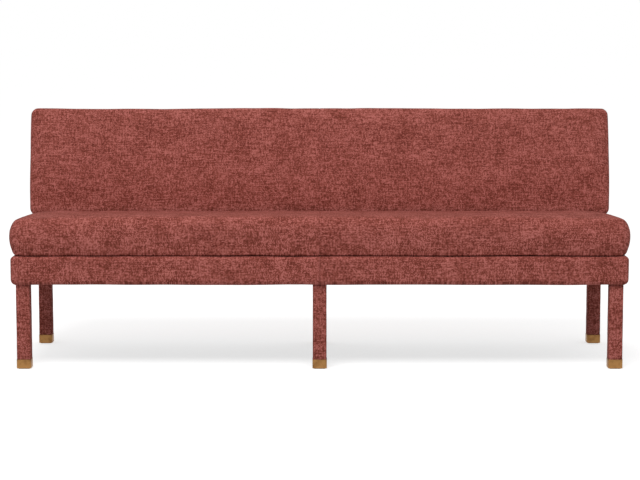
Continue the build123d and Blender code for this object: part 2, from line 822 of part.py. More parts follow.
with BuildPart() as back_cover:
    add(back_form(0))
    add(back_form(cover_thickness), mode=Mode.SUBTRACT)
    add(slots, mode=Mode.SUBTRACT)
save_halves(back_cover.part, "back_cover")
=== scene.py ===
import json
from math import cos, exp, pi, radians, sin, tan

import bmesh
import bpy
import numpy as np
from bpy.props import FloatProperty, FloatVectorProperty, PointerProperty
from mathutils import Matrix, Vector, noise


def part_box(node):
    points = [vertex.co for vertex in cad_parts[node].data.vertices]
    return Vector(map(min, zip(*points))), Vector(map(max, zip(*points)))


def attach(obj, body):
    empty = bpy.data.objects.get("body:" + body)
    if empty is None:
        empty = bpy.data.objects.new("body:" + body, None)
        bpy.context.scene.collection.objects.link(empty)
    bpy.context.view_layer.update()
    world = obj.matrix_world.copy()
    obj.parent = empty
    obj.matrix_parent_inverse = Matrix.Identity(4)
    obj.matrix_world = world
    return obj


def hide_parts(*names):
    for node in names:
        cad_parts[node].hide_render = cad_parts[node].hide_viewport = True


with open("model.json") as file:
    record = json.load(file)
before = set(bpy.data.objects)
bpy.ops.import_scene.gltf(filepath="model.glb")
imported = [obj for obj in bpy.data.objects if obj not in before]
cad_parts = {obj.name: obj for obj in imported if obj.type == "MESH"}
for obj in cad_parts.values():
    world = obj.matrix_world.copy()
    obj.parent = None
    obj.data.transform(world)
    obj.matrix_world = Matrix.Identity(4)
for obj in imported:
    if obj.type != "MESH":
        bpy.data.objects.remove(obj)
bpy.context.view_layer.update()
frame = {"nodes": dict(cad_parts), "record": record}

bl_info = {
    "name": "Upholstered banquette",
    "version": (1, 0, 0),
    "blender": (4, 5, 0),
    "location": "View3D > Sidebar > Banquette",
    "description": "Dresses a dining banquette: base, seat, back, legs, ferrules, lining and stage",
    "category": "Object",
}

NODES = frame["nodes"]


def hex_colour(code):
    """An sRGB hex value as a linear colour with full alpha."""
    shares = [int(code[i : i + 2], 16) / 255 for i in (0, 2, 4)]
    return tuple(s / 12.92 if s <= 0.04045 else ((s + 0.055) / 1.055) ** 2.4 for s in shares) + (1.0,)


def nodes_box(*names):
    """Lowest and highest corner of several nodes together."""
    boxes = [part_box(name) for name in names]
    low = Vector(min(b[0][i] for b in boxes) for i in range(3))
    high = Vector(max(b[1][i] for b in boxes) for i in range(3))
    return low, high


BASE_LOW, BASE_HIGH = nodes_box("base_cover_left", "base_cover_right")
BASE_WIDTH, BASE_DEPTH = BASE_HIGH.x - BASE_LOW.x, BASE_HIGH.y - BASE_LOW.y
MIDDLE_Y = (BASE_HIGH.y + BASE_LOW.y) / 2
LEG_NAMES = [f"{row}_{column}" for row in ("front", "rear") for column in ("left", "middle", "right")]


def colour_property(name, description, code):
    """A colour that a user may change, with its default given as sRGB hex."""
    return FloatVectorProperty(
        name=name, description=description, subtype="COLOR", size=4, min=0, max=1, default=hex_colour(code)
    )


def length_property(name, description, metres):
    """A length that a user may change."""
    return FloatProperty(name=name, description=description, unit="LENGTH", default=metres)


def angle_property(name, description, degrees):
    """An angle that a user may change, with its default given in degrees."""
    return FloatProperty(name=name, description=description, subtype="ANGLE", default=radians(degrees))


class BanquetteSeat(bpy.types.PropertyGroup):
    """Sizes of the seat cushion"""

    height: length_property("Height", "Height of the cushion in the middle of its depth", 0.118)
    overhang: length_property("Overhang", "How far the cushion stands out past the base", 0.002)
    corner: length_property("Corner", "Radius of the cushion's upright corners", 0.028)
    tuck: length_property("Tuck", "How far the foot of the cushion is drawn in", 0.0115)
    belly: length_property("Belly", "Height of the widest line", 0.050)
    roll: length_property("Roll", "How far the shoulder is drawn in", 0.028)
    crown_run: length_property("Crown run", "Distance over which the crown climbs", 0.120)
    crown: length_property("Crown", "Rise of the crown", 0.005)
    rake: angle_property("Rake", "Slope of the seat", 3.3)
    fall_run: length_property("Fall run", "Length at each end over which the top falls", 0.200)
    fall: length_property("Fall", "How far the top falls at the ends", 0.0045)
    spread: length_property("Spread", "How far the ends bulge past the cover's cut size", 0.004)
    swell: length_property("Swell", "How much smaller the cushion starts before it is blown up", 0.005)
    seam: length_property("Seam", "Depth of the middle seam", 0.0016)


class BanquetteBack(bpy.types.PropertyGroup):
    """Sizes of the back pad"""

    height: length_property("Height", "Height along the slope", 0.377)
    thickness: length_property("Thickness", "From the crown to the rear face", 0.110)
    foot_depth: length_property("Foot depth", "From the base's front to the pad's foot", 0.417)
    sink: length_property("Sink", "How far the foot sinks into the cushion", 0.021)
    corner: length_property("Corner", "Radius of the pad's corners", 0.022)
    roll: length_property("Roll", "How far the front edge is drawn in", 0.018)
    roll_depth: length_property("Roll depth", "Depth of the rolled front edge", 0.020)
    rear_roll: length_property("Rear roll", "Roundness of the rear edge", 0.012)
    crown_run: length_property("Crown run", "Distance over which the crown climbs", 0.050)
    crown: length_property("Crown", "Rise of the crown", 0.005)
    foot_slope: angle_property("Foot slope", "Slope of the foot to the rear", 2.4)
    lean: angle_property("Lean", "Recline of the back", 13)
    spread: length_property("Spread", "How far the edges bulge past the cover's cut size", 0.002)
    swell: length_property("Swell", "How much smaller the pad starts before it is blown up", 0.004)
    seam: length_property("Seam", "Depth of the middle seam", 0.0012)


class BanquetteFrame(bpy.types.PropertyGroup):
    """Sizes of the base, the legs and the cloth"""

    base_corner: length_property("Base corner", "Radius of the base's upright corners", 0.018)
    base_roll: length_property("Base roll", "Roundness of the base's lower edge", 0.018)
    base_lip: length_property("Base lip", "Roundness of the base's upper edge", 0.011)
    crease: length_property("Crease", "Height of the slit between the base's edge and the cushion", 0.0028)
    cloth: length_property("Cloth", "Thickness of the cloth", 0.002)
    turn: length_property("Turned edge", "Width of the cloth turned over and under the base", 0.024)
    leg: length_property("Leg", "Width of a covered leg", 0.045)
    leg_round: length_property("Leg corner", "Radius of a leg's corners", 0.005)
    ferrule_ease: length_property("Ferrule ease", "Bevel of a ferrule's edges", 0.0012)
    seam: length_property("Seam", "Depth of the base's middle seam", 0.0040)
    sag: length_property("Sag", "Sag of the lining under the base", 0.004)


class BanquetteColours(bpy.types.PropertyGroup):
    """Colours of the visible finishes"""

    yarn: colour_property("Yarn", "Middle colour of the chenille", "904a40")
    shade: colour_property("Shade", "Dark yarns between the pile", "6a2c25")
    fleck: colour_property("Fleck", "Pale slubs that catch the light", "b86d64")
    brass: colour_property("Brass", "Satin brass", "a67b4b")
    lining: colour_property("Lining", "Lining under the base", "1c1c1d")
    floor: colour_property("Floor", "Studio floor", "d2d2d2")


class BanquetteStage(bpy.types.PropertyGroup):
    """Camera and light"""

    lens: FloatProperty(name="Lens", description="Focal length on a 36 mm film", default=107.72)
    distance: length_property("Distance", "Camera in front of the base's front face", 6.130)
    eye: length_property("Eye", "Height of the camera", 1.1185)
    shift: length_property("Shift", "Camera to the right of the middle", 0.0011)
    pitch: angle_property("Pitch", "Camera tipped down", 6.46)
    sky: FloatProperty(name="Sky", description="Level of the light from all round", default=0.56)
    key: FloatProperty(name="Key", description="Power of the large front lamp in watts", default=166.0)
    fill: FloatProperty(name="Fill", description="Power of the low side lamp in watts", default=2.5)


def add_node(tree, kind, settings=None, **inputs):
    """Adds a node, sets its properties, and sets or links its inputs, written with _ for a space."""
    made = tree.nodes.new(kind)
    for name, value in (settings or {}).items():
        setattr(made, name, value)
    for name, value in inputs.items():
        key = name.replace("_", " ")
        socket = made.inputs[int(name[1:])] if name[0] == "i" and name[1:].isdigit() else made.inputs[key]
        if isinstance(value, bpy.types.NodeSocket):
            tree.links.new(value, socket)
        else:
            socket.default_value = value
    return made


def new_material(name):
    """An empty node material and its surface socket."""
    material = bpy.data.materials.new(name)
    material.use_nodes = True
    material.node_tree.nodes.clear()
    output = material.node_tree.nodes.new("ShaderNodeOutputMaterial")
    return material, material.node_tree, output.inputs["Surface"]


def mixed_colour(tree, share, first, second):
    """A colour between two others, by a share that may be a pattern."""
    return add_node(
        tree, "ShaderNodeMix", {"data_type": "RGBA"}, i0=share, i6=first, i7=second
    ).outputs[2]


def ranged(tree, value, **ends):
    """A value carried from one range to another, each from nothing to one unless its ends are given."""
    return add_node(tree, "ShaderNodeMapRange", Value=value, **ends).outputs["Result"]


def bumped(tree, pattern, strength, depth):
    """Normals roughened by a pattern, to a depth in metres."""
    return add_node(
        tree, "ShaderNodeBump", Strength=strength, Distance=depth, Height=pattern
    ).outputs["Normal"]


def finished(material, tree, surface, **inputs):
    """Ends a material with its surface shader."""
    shader = add_node(tree, "ShaderNodeBsdfPrincipled", **inputs)
    tree.links.new(shader.outputs[0], surface)
    return material


def terracotta_chenille(colours):
    """Upholstery chenille: short pile yarns with slubs, woven on a plain ground.

    Pale slubs run with the warp and the weft over darker gaps, in soft patches, and hardly shine.
    The yarns of such a cloth are about 1.5 mm apart. They are drawn 3.2 mm apart, to show at this size.
    """
    material, tree, surface = new_material("terracotta_chenille")
    yarn, thread, warp_slub, weft_slub, patch, drift = 0.0032, 0.005, 0.026, 0.050, 0.080, 0.140
    thinnest, fullest = 1.45, 2.55
    second_shade, second_fleck, sheen = hex_colour("6e3529"), hex_colour("b46761"), hex_colour("c98478")
    flat = {"noise_dimensions": "2D"}
    cloth = add_node(tree, "ShaderNodeUVMap", {"uv_map": "cloth"}).outputs["UV"]

    def clouds(way, scale, **details):
        """A soft noise over the cloth."""
        return add_node(tree, "ShaderNodeTexNoise", flat, Vector=way, Scale=scale, **details).outputs["Fac"]

    def measured(across, up):
        """The cloth's coordinates, counted in slubs and threads."""
        scale = (1 / across, 1 / up, 1)
        return add_node(tree, "ShaderNodeMapping", Vector=cloth, Scale=scale).outputs["Vector"]

    def added(first, second):
        """The sum of two patterns."""
        return add_node(tree, "ShaderNodeMath", {"operation": "ADD"}, i0=first, i1=second).outputs[0]

    crossing = add_node(
        tree, "ShaderNodeVectorMath", {"operation": "SNAP"}, i0=cloth, i1=(yarn, yarn, yarn)
    ).outputs[0]
    tuft = add_node(tree, "ShaderNodeTexWhiteNoise", flat, Vector=crossing).outputs["Value"]
    mottle = clouds(cloth, 1 / patch, Detail=3.0, Roughness=0.75)
    warp = clouds(measured(thread, warp_slub), 1.0, Detail=1.0)
    weft = clouds(measured(weft_slub, thread), 1.0, Detail=1.0)
    hue = clouds(cloth, 1 / drift, Detail=2.0)
    relief = added(mottle, added(warp, weft))
    pile = ranged(tree, added(relief, tuft), From_Min=thinnest, From_Max=fullest)
    below = ranged(tree, pile, From_Max=0.5)
    above = ranged(tree, pile, From_Min=0.5)
    dark = mixed_colour(tree, hue, colours.shade, second_shade)
    light = mixed_colour(tree, hue, colours.fleck, second_fleck)
    colour = mixed_colour(tree, above, mixed_colour(tree, below, dark, colours.yarn), light)
    normal = bumped(tree, relief, strength=0.35, depth=0.0012)
    return finished(
        material, tree, surface, Base_Color=colour, Roughness=0.92, Specular_IOR_Level=0.15,
        Sheen_Weight=0.05, Sheen_Roughness=0.5, Sheen_Tint=sheen, Normal=normal,
    )


def satin_brass(colours):
    """Pressed brass ferrules, brushed round and left to dull: long fine scratches and brown patches."""
    material, tree, surface = new_material("satin_brass")
    scratch, sweep, tarnish = 0.0012, 1 / 12, 0.020
    tarnished = hex_colour("7d5632")
    place = add_node(tree, "ShaderNodeTexCoord").outputs["Object"]
    brushed = add_node(
        tree, "ShaderNodeMapping", Vector=place, Scale=(1 / sweep, 1 / sweep, 1 / scratch)
    ).outputs["Vector"]
    lines = add_node(tree, "ShaderNodeTexNoise", Vector=brushed, Scale=1.0, Detail=3.0).outputs["Fac"]
    patches = add_node(
        tree, "ShaderNodeTexNoise", Vector=place, Scale=1 / tarnish, Detail=3.0
    ).outputs["Fac"]
    dull = ranged(tree, patches, From_Min=0.45, From_Max=0.8)
    colour = mixed_colour(tree, dull, colours.brass, tarnished)
    gloss = ranged(tree, lines, To_Min=0.32, To_Max=0.55)
    normal = bumped(tree, lines, strength=0.15, depth=0.0002)
    return finished(
        material, tree, surface, Base_Color=colour, Metallic=1.0, Roughness=gloss, Normal=normal
    )


def planed_wood(name, pale, deep, ring):
    """Planed hardwood, unfinished: straight grain in two browns, which shows the way each board runs."""
    material, tree, surface = new_material(name)
    along, across = 1.5, 1 / ring
    place = add_node(tree, "ShaderNodeTexCoord").outputs["Object"]
    board = add_node(
        tree, "ShaderNodeMapping", Vector=place, Scale=(along, across, across)
    ).outputs["Vector"]
    grain = add_node(
        tree, "ShaderNodeTexNoise", Vector=board, Scale=1.0, Detail=4.0, Distortion=0.6
    ).outputs["Fac"]
    share = ranged(tree, grain, From_Min=0.3, From_Max=0.7)
    colour = mixed_colour(tree, share, hex_colour(deep), hex_colour(pale))
    normal = bumped(tree, grain, strength=0.2, depth=0.0004)
    return finished(
        material, tree, surface, Base_Color=colour, Roughness=0.6, IOR=1.53, Normal=normal
    )


def woven_webbing():
    """Polypropylene seat webbing: flat black tapes in a tight twill, seen as fine slanting ribs."""
    material, tree, surface = new_material("polypropylene_webbing")
    twill, wave_length = 0.003, 0.3
    place = add_node(tree, "ShaderNodeTexCoord").outputs["Object"]
    ribs = add_node(
        tree, "ShaderNodeTexWave", {"bands_direction": "DIAGONAL"},
        Vector=place, Scale=wave_length / twill, Distortion=1.0,
    ).outputs["Fac"]
    colour = mixed_colour(tree, ribs, hex_colour("151413"), hex_colour("3a3632"))
    normal = bumped(tree, ribs, strength=0.4, depth=0.0005)
    return finished(
        material, tree, surface, Base_Color=colour, Roughness=0.7, IOR=1.49, Normal=normal
    )


def zinc_steel():
    """Zinc-plated steel fasteners: bright grey with a cloudy blue-grey bloom."""
    material, tree, surface = new_material("zinc_plated_steel")
    bloom = 0.006
    place = add_node(tree, "ShaderNodeTexCoord").outputs["Object"]
    cloud = add_node(tree, "ShaderNodeTexNoise", Vector=place, Scale=1 / bloom, Detail=3.0).outputs["Fac"]
    colour = mixed_colour(tree, cloud, hex_colour("9ea3a8"), hex_colour("c9c9c5"))
    gloss = ranged(tree, cloud, To_Min=0.25, To_Max=0.45)
    return finished(material, tree, surface, Base_Color=colour, Metallic=1.0, Roughness=gloss)


def pressed_cloth(name, base, lift, grit):
    """Pressed fibres, such as felt or spunbond lining: matt, with a fine fuzzy grain."""
    material, tree, surface = new_material(name)
    place = add_node(tree, "ShaderNodeTexCoord").outputs["Object"]
    fuzz = add_node(
        tree, "ShaderNodeTexNoise", Vector=place, Scale=1 / grit, Detail=4.0, Roughness=0.8
    ).outputs["Fac"]
    colour = mixed_colour(tree, fuzz, base, lift)
    normal = bumped(tree, fuzz, strength=0.3, depth=0.0006)
    return finished(
        material, tree, surface, Base_Color=colour, Roughness=0.95, Specular_IOR_Level=0.2, Normal=normal
    )


def any_ray(tree, *kinds):
    """A share that is one for rays of the named kinds, and nothing for the rest."""
    rays = add_node(tree, "ShaderNodeLightPath")
    share = rays.outputs[kinds[0]]
    for kind in kinds[1:]:
        share = add_node(
            tree, "ShaderNodeMath", {"operation": "MAXIMUM"}, i0=share, i1=rays.outputs[kind]
        ).outputs[0]
    return share


def studio_floor(colours):
    """Matt studio floor: the lens sees it near white with the soft shadow, light bounces off it plainly."""
    material, tree, surface = new_material("studio_floor")
    white, lift = (1, 1, 1, 1), 0.64
    paper = add_node(tree, "ShaderNodeBsdfDiffuse", Color=colours.floor).outputs[0]
    glow = add_node(tree, "ShaderNodeEmission", Color=white, Strength=lift).outputs[0]
    seen = add_node(tree, "ShaderNodeAddShader", i0=paper, i1=glow).outputs[0]
    share = any_ray(tree, "Is Camera Ray", "Is Glossy Ray", "Is Transmission Ray")
    mixed = add_node(tree, "ShaderNodeMixShader", i0=share, i1=paper, i2=seen).outputs[0]
    tree.links.new(mixed, surface)
    return material


def link_object(name, mesh, material):
    """A new smooth-shaded object in the scene."""
    mesh.polygons.foreach_set("use_smooth", [True] * len(mesh.polygons))
    mesh.materials.clear()
    mesh.materials.append(material)
    piece = bpy.data.objects.new(name, mesh)
    bpy.context.scene.collection.objects.link(piece)
    return piece


def quarter_turn(steps):
    """Angles of a quarter turn, in even steps."""
    return [pi / 2 * step / steps for step in range(steps + 1)]


def rounded_ring(width, depth, radius, corner_steps, runs):
    """Points round a rounded rectangle, anticlockwise, with a set number along each long and short side."""
    half_x, half_y = width / 2 - radius, depth / 2 - radius
    corners = [(half_x, half_y), (-half_x, half_y), (-half_x, -half_y), (half_x, -half_y)]
    points = []
    for quarter, (x, y) in enumerate(corners):
        turns = [pi / 2 * (quarter + step / corner_steps) for step in range(corner_steps + 1)]
        points += [(x + radius * cos(turn), y + radius * sin(turn)) for turn in turns]
        start = points[-1]
        next_x, next_y = corners[(quarter + 1) % 4]
        end = (next_x + radius * cos(turns[-1]), next_y + radius * sin(turns[-1]))
        count = runs[quarter % 2]
        for step in range(1, count):
            share = step / count
            points.append((start[0] + (end[0] - start[0]) * share, start[1] + (end[1] - start[1]) * share))
    return points


def swept(section, size, corner, least_corner, centre, corner_steps, runs):
    """Rings of points: a section of draws and heights, carried round a rounded rectangle."""
    rings = []
    for draw, z in section:
        radius = max(corner - draw, least_corner)
        ring = rounded_ring(size[0] - 2 * draw, size[1] - 2 * draw, radius, corner_steps, runs)
        rings.append([(centre[0] + x, centre[1] + y, z) for x, y in ring])
    return rings


def ring_mesh(name, rings, loop=False):
    """A closed mesh through rings of points: capped at both ends, or joined from the last to the first."""
    count = len(rings[0])
    faces = []
    for ring in range(len(rings) if loop else len(rings) - 1):
        after = (ring + 1) % len(rings)
        for k in range(count):
            n = (k + 1) % count
            faces.append((ring * count + k, ring * count + n, after * count + n, after * count + k))
    if not loop:
        faces.append(tuple(reversed(range(count))))
        faces.append(tuple(range((len(rings) - 1) * count, len(rings) * count)))
    mesh = bpy.data.meshes.new(name)
    mesh.from_pydata([point for ring in rings for point in ring], [], faces)
    return mesh


def join_meshes(name, meshes):
    """Several meshes as one, each still a separate shell."""
    joined = bmesh.new()
    for mesh in meshes:
        joined.from_mesh(mesh)
        bpy.data.meshes.remove(mesh)
    result = bpy.data.meshes.new(name)
    joined.to_mesh(result)
    joined.free()
    return result


def read_array(items, attribute, width, kind=float):
    """One attribute of every item of a mesh, as rows of numbers."""
    flat = np.zeros(len(items) * width, kind)
    items.foreach_get(attribute, flat)
    return flat.reshape(-1, width)


def read_points(mesh):
    """Vertex places of a mesh as rows of x, y and z."""
    return read_array(mesh.vertices, "co", 3)


def write_points(mesh, points):
    """Moves the vertices of a mesh to new places."""
    mesh.vertices.foreach_set("co", points.reshape(-1))
    mesh.update()


def baked_mesh(piece):
    """A copy of an object's mesh with its modifiers applied."""
    graph = bpy.context.evaluated_depsgraph_get()
    return bpy.data.meshes.new_from_object(piece.evaluated_get(graph))


def swap_mesh(piece, mesh):
    """Gives an object a new mesh, without modifiers."""
    old = piece.data
    piece.modifiers.clear()
    piece.data = mesh
    bpy.data.meshes.remove(old)


def voxel_skin(piece, voxel, rounds):
    """Rebuilds a piece with even small faces, and smooths off the steps."""
    remesh = piece.modifiers.new("voxels", "REMESH")
    remesh.mode = "VOXEL"
    remesh.voxel_size = voxel
    smooth = piece.modifiers.new("smooth", "SMOOTH")
    smooth.factor = 0.5
    smooth.iterations = rounds
    swap_mesh(piece, baked_mesh(piece))


def evened(mesh, moves, rounds):
    """Moves of the points of a mesh, each drawn towards its neighbours' so that no sharp pucker is left."""
    ends = read_array(mesh.edges, "vertices", 2, int)
    first, second = ends[:, 0], ends[:, 1]
    neighbours = np.bincount(ends.reshape(-1), minlength=len(moves))[:, None]
    for _ in range(rounds):
        total = np.zeros_like(moves)
        np.add.at(total, first, moves[second])
        np.add.at(total, second, moves[first])
        moves = (moves + total / neighbours) / 2
    return moves


def blow_up(piece, held, pressure, cap):
    """Swells a cover by cloth simulation, with some points held and every move capped."""
    frames, evening_rounds, least_reach = 20, 30, 1e-9
    start = read_points(piece.data)
    group = piece.vertex_groups.new(name="held")
    group.add([int(i) for i in np.flatnonzero(held(start))], 1.0, "REPLACE")
    cloth = piece.modifiers.new("cloth", "CLOTH")
    cloth.settings.quality = 4
    cloth.settings.tension_stiffness = 5
    cloth.settings.compression_stiffness = 5
    cloth.settings.bending_stiffness = 0.5
    cloth.settings.shrink_min = -0.005
    cloth.settings.use_pressure = True
    cloth.settings.uniform_pressure_force = pressure
    cloth.settings.vertex_group_mass = "held"
    cloth.settings.effector_weights.gravity = 0
    cloth.point_cache.frame_start = 1
    cloth.point_cache.frame_end = frames
    scene = bpy.context.scene
    for step in range(1, frames + 1):
        scene.frame_set(step)
    swollen = baked_mesh(piece)
    moved = read_points(swollen) - start
    bpy.data.meshes.remove(swollen)
    reach = np.linalg.norm(moved, axis=1)
    moved *= np.minimum(1, cap / np.maximum(reach, least_reach))[:, None]
    piece.modifiers.clear()
    piece.vertex_groups.clear()
    scene.frame_set(1)
    write_points(piece.data, start + evened(piece.data, moved, evening_rounds))


def fit_box(mesh, low, high):
    """Stretches a swollen cover to the overall size of the finished pad."""
    points = read_points(mesh)
    least, most = points.min(axis=0), points.max(axis=0)
    share = (points - least) / (most - least)
    write_points(mesh, np.array(low) + share * (np.array(high) - np.array(low)))


def subdivided(piece):
    """One step of smooth subdivision."""
    surface = piece.modifiers.new("subdivision", "SUBSURF")
    surface.levels = surface.render_levels = 1
    swap_mesh(piece, baked_mesh(piece))


def uneven(mesh, height, wave, seed):
    """Moves a cover in and out a little along its normals, as hand-stretched cloth over padding lies."""
    points, normals = read_points(mesh), read_array(mesh.vertices, "normal", 3)
    lift = [noise.noise(Vector(point) / wave + Vector((seed, seed, seed))) * height for point in points]
    write_points(mesh, points + normals * np.array(lift)[:, None])


def middle_seam(mesh, depth, half_width=0.0016):
    """A sewn seam at the middle: edges cut beside it, and the cloth drawn in along it."""
    shape = bmesh.new()
    shape.from_mesh(mesh)
    for x in (-2 * half_width, -half_width, 0, half_width, 2 * half_width):
        geometry = shape.verts[:] + shape.edges[:] + shape.faces[:]
        bmesh.ops.bisect_plane(shape, geom=geometry, dist=1e-6, plane_co=(x, 0, 0), plane_no=(1, 0, 0))
    shape.normal_update()
    for vert in shape.verts:
        if abs(vert.co.x) < 4 * half_width:
            drawn = depth * exp(-((vert.co.x / half_width) ** 2))
            vert.co -= vert.normal * drawn
    shape.to_mesh(mesh)
    shape.free()


def lay_cloth(mesh, turn_y):
    """Lays the cloth on a piece: warp up the front, over the top and down the rear, ends apart."""
    end_facing, rear_facing, end_shift = 0.75, 0.5, 3
    points, facings = read_points(mesh), read_array(mesh.polygons, "normal", 3)
    at = points[read_array(mesh.loops, "vertex_index", 1, int)[:, 0]]
    totals = read_array(mesh.polygons, "loop_total", 1, int)[:, 0]
    end = np.repeat(np.abs(facings[:, 0]) > end_facing, totals)
    rear = np.repeat(facings[:, 1] > rear_facing, totals)
    run = np.where(rear, at[:, 1] - at[:, 2] + 2 * turn_y, at[:, 1] + at[:, 2])
    across = np.where(end, at[:, 1] + end_shift * np.sign(at[:, 0]), at[:, 0])
    up = np.where(end, at[:, 2], run)
    layer = mesh.uv_layers.new(name="cloth")
    layer.data.foreach_set("uv", np.column_stack([across, up]).reshape(-1))


def dress(piece, slot, *nodes, fill=None):
    """Fixes a finished piece to the frame and hides the solids that it stands for."""
    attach(piece, "root")
    if nodes:
        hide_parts(*nodes)


def shared_material(name, make, *details):
    """A material by name, made when it is first asked for."""
    return bpy.data.materials.get(name) or make(*details)


def chenille(context):
    """The upholstery cloth, which all the covers share."""
    return shared_material("terracotta_chenille", terracotta_chenille, context.scene.banquette_colours)


def foot_level(seat, back):
    """Height of the back pad's foot above the floor, at its front."""
    drop = (back.foot_depth - BASE_DEPTH / 2) * tan(back.foot_slope)
    return BASE_HIGH.z + seat.height - back.sink - drop


class BANQUETTE_OT_base(bpy.types.Operator):
    """Padded base: a cloth band with rolled edges, turned over and under the frame"""

    bl_idname = "banquette.base"
    bl_label = "Make base"

    def execute(self, context):
        sizes = context.scene.banquette_frame
        section = self.path(sizes, 0) + self.path(sizes, sizes.cloth)[::-1]
        rings = swept(
            section, (BASE_WIDTH, BASE_DEPTH), sizes.base_corner, least_corner=0.002,
            centre=(0, MIDDLE_Y), corner_steps=6, runs=(170, 50),
        )
        base = link_object("base_band", ring_mesh("base_band", rings, loop=True), chenille(context))
        uneven(base.data, height=0.0018, wave=0.16, seed=4.0)
        middle_seam(base.data, sizes.seam)
        lay_cloth(base.data, turn_y=0.5)
        pads = [f"base_pad_{side}" for side in ("front", "rear", "left", "right")]
        dress(base, "terracotta_cloth", "base_cover_left", "base_cover_right", *pads, fill=0.9)
        return {"FINISHED"}

    def path(self, sizes, inset):
        """Draw and height of the band's section, from under the frame up and over it."""
        roll, lip = sizes.base_roll, sizes.base_lip
        low, high = BASE_LOW.z, BASE_HIGH.z - sizes.crease
        turns, side_steps = quarter_turn(5), 8
        under, over = roll - inset, lip - inset
        below = [(roll - under * sin(t), low + inset + under * (1 - cos(t))) for t in turns]
        above = [(lip - over * cos(t), high - inset - over * (1 - sin(t))) for t in turns]
        rise = (above[0][1] - below[-1][1]) / side_steps
        sides = [(inset, below[-1][1] + rise * step) for step in range(1, side_steps)]
        turned_under, turned_over = (sizes.turn, low + inset), (sizes.turn, BASE_HIGH.z - inset)
        return [turned_under] + below + sides + above + [turned_over]


class BANQUETTE_OT_seat(bpy.types.Operator):
    """Seat cushion: tucked foot, full belly, rolled shoulder and crown, pressed down under the back"""

    bl_idname = "banquette.seat"
    bl_label = "Make seat cushion"

    def execute(self, context):
        seat, back = context.scene.banquette_seat, context.scene.banquette_back
        inset = seat.swell
        shells = self.shells(seat, inset)
        cushion = link_object("seat_cushion", ring_mesh("seat_cushion", shells), chenille(context))
        voxel_skin(cushion, voxel=0.007, rounds=2)
        foot, held_band, clearance = BASE_HIGH.z, 0.006, 0.0002

        def held(points):
            """The foot of the cushion, where it lies on the base."""
            return points[:, 2] < foot + seat.swell + held_band

        blow_up(cushion, held, pressure=0.10, cap=0.008)
        subdivided(cushion)
        low, high = nodes_box("seat_cover_left", "seat_cover_right")
        crest = max(point[2] for shell in shells for point in shell) + inset
        out = Vector((seat.spread, 0, 0))
        fit_box(cushion.data, low - out, Vector((high.x, high.y, crest)) + out)
        uneven(cushion.data, height=0.0016, wave=0.20, seed=1.0)
        self.press_under_back(cushion.data, seat, back)
        middle_seam(cushion.data, seat.seam)
        points = read_points(cushion.data)
        points[:, 2] = np.maximum(points[:, 2], foot + clearance)
        write_points(cushion.data, points)
        lay_cloth(cushion.data, turn_y=0.5)
        dress(cushion, "terracotta_cloth", "seat_cover_left", "seat_cover_right", "seat_foam", fill=0.85)
        return {"FINISHED"}

    def shells(self, seat, inset):
        """Rings of points up the cushion: drawn in, raked, and falling at the ends."""
        foot_steps, roll_steps, crown_steps = 6, 8, 6
        roll_top = seat.height - seat.crown
        rings = []
        for step in range(foot_steps):
            rings.append((seat.tuck * (1 - step / foot_steps) ** 2, seat.belly * step / foot_steps))
        for turn in quarter_turn(roll_steps):
            rings.append((seat.roll * (1 - cos(turn)), seat.belly + (roll_top - seat.belly) * sin(turn)))
        for step in range(1, crown_steps + 1):
            climb = 1 - (1 - step / crown_steps) ** 2
            rings.append((seat.roll + seat.crown_run * step / crown_steps, roll_top + seat.crown * climb))
        squeeze = (seat.height - 2 * inset) / seat.height
        shells = []
        for draw, height in rings:
            lifted = min(1, height / seat.belly)
            tip, fall = seat.rake * lifted, seat.fall * lifted
            level = BASE_HIGH.z + inset + height * squeeze
            spare = 2 * (seat.overhang - inset - draw)
            ring = rounded_ring(
                BASE_WIDTH + spare, BASE_DEPTH + spare, seat.corner, corner_steps=6, runs=(40, 12)
            )
            shell = []
            for x, y in ring:
                near = max(0, 1 - (BASE_HIGH.x - abs(x)) / seat.fall_run)
                shell.append((x, MIDDLE_Y + y * cos(tip), level - y * sin(tip) - fall * near**2))
            shells.append(shell)
        return shells

    def press_under_back(self, mesh, seat, back):
        """Presses the rear of the cushion down to the back pad's foot, with a soft valley before it."""
        points = read_points(mesh)
        foot_y, foot_z = BASE_LOW.y + back.foot_depth, foot_level(seat, back)
        lean, slope = back.lean, tan(back.lean - back.foot_slope)
        gap, valley, deepest = 0.001, 0.016, 0.04
        dy, dz = points[:, 1] - foot_y, points[:, 2] - foot_z
        through = dy * cos(lean) - dz * sin(lean)
        rise = dy * sin(lean) + dz * cos(lean) - through * slope
        ramp = np.clip((through + valley) / valley, 0, 1) * np.clip(
            (back.thickness + valley - through) / valley, 0, 1
        )
        ramp = ramp * ramp * (3 - 2 * ramp)
        over = np.maximum(rise + gap, 0) * (points[:, 2] > foot_z - deepest)
        points[:, 2] -= over * ramp * cos(lean)
        write_points(mesh, points)


